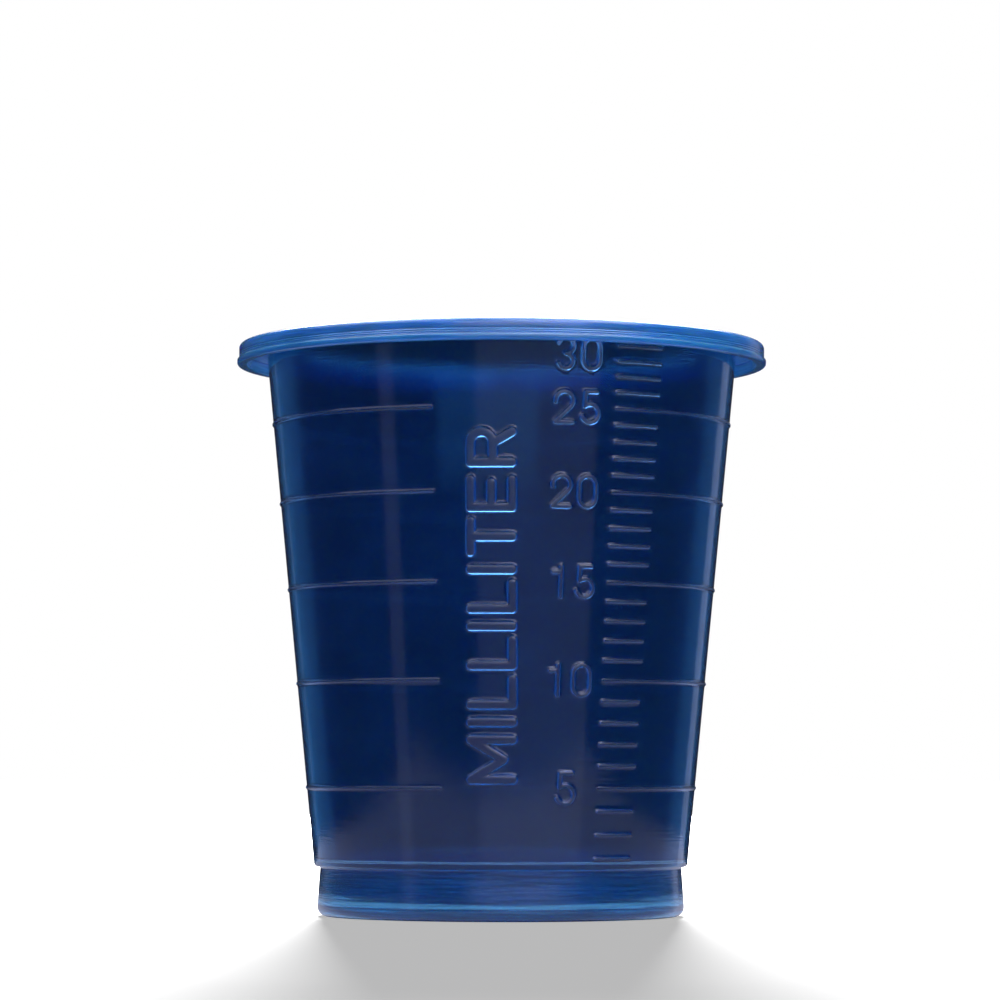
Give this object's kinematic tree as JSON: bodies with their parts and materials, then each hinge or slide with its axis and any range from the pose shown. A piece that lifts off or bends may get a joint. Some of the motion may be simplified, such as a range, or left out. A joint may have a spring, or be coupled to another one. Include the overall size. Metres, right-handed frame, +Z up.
{
  "type": "graduated measuring cup",
  "caption": "Small tapered translucent blue measuring cup with a rolled rim, stepped foot, raised millilitre scale, ring lines and unit lettering.",
  "frame": {"origin": "centre of the foot's resting edge, on the table", "axes": "+Z up along the cup's axis, -Y towards the front with the scale and lettering, +X to the right of it"},
  "size_m": [0.0398, 0.0398, 0.0428],
  "materials": {
    "cup_plastic": "satin gloss, translucent"
  },
  "bodies": {
    "root": {"cup_floor": "cup_plastic", "foot_skirt": "cup_plastic", "wall_shoulder": "cup_plastic", "cup_wall": "cup_plastic", "rim_flange": "cup_plastic", "rim_skirt": "cup_plastic", "ring_05_ml": "cup_plastic", "ring_10_ml": "cup_plastic", "ring_15_ml": "cup_plastic", "ring_20_ml": "cup_plastic", "ring_25_ml": "cup_plastic", "ticks_02_to_04_ml": "cup_plastic", "ticks_06_to_09_ml": "cup_plastic", "ticks_11_to_14_ml": "cup_plastic", "ticks_16_to_19_ml": "cup_plastic", "ticks_21_to_24_ml": "cup_plastic", "ticks_26_to_29_ml": "cup_plastic", "numeral_05": "cup_plastic", "numeral_10": "cup_plastic", "numeral_15": "cup_plastic", "numeral_20": "cup_plastic", "numeral_25": "cup_plastic", "numeral_30": "cup_plastic", "unit_word": "cup_plastic"}
  },
  "joints": []
}
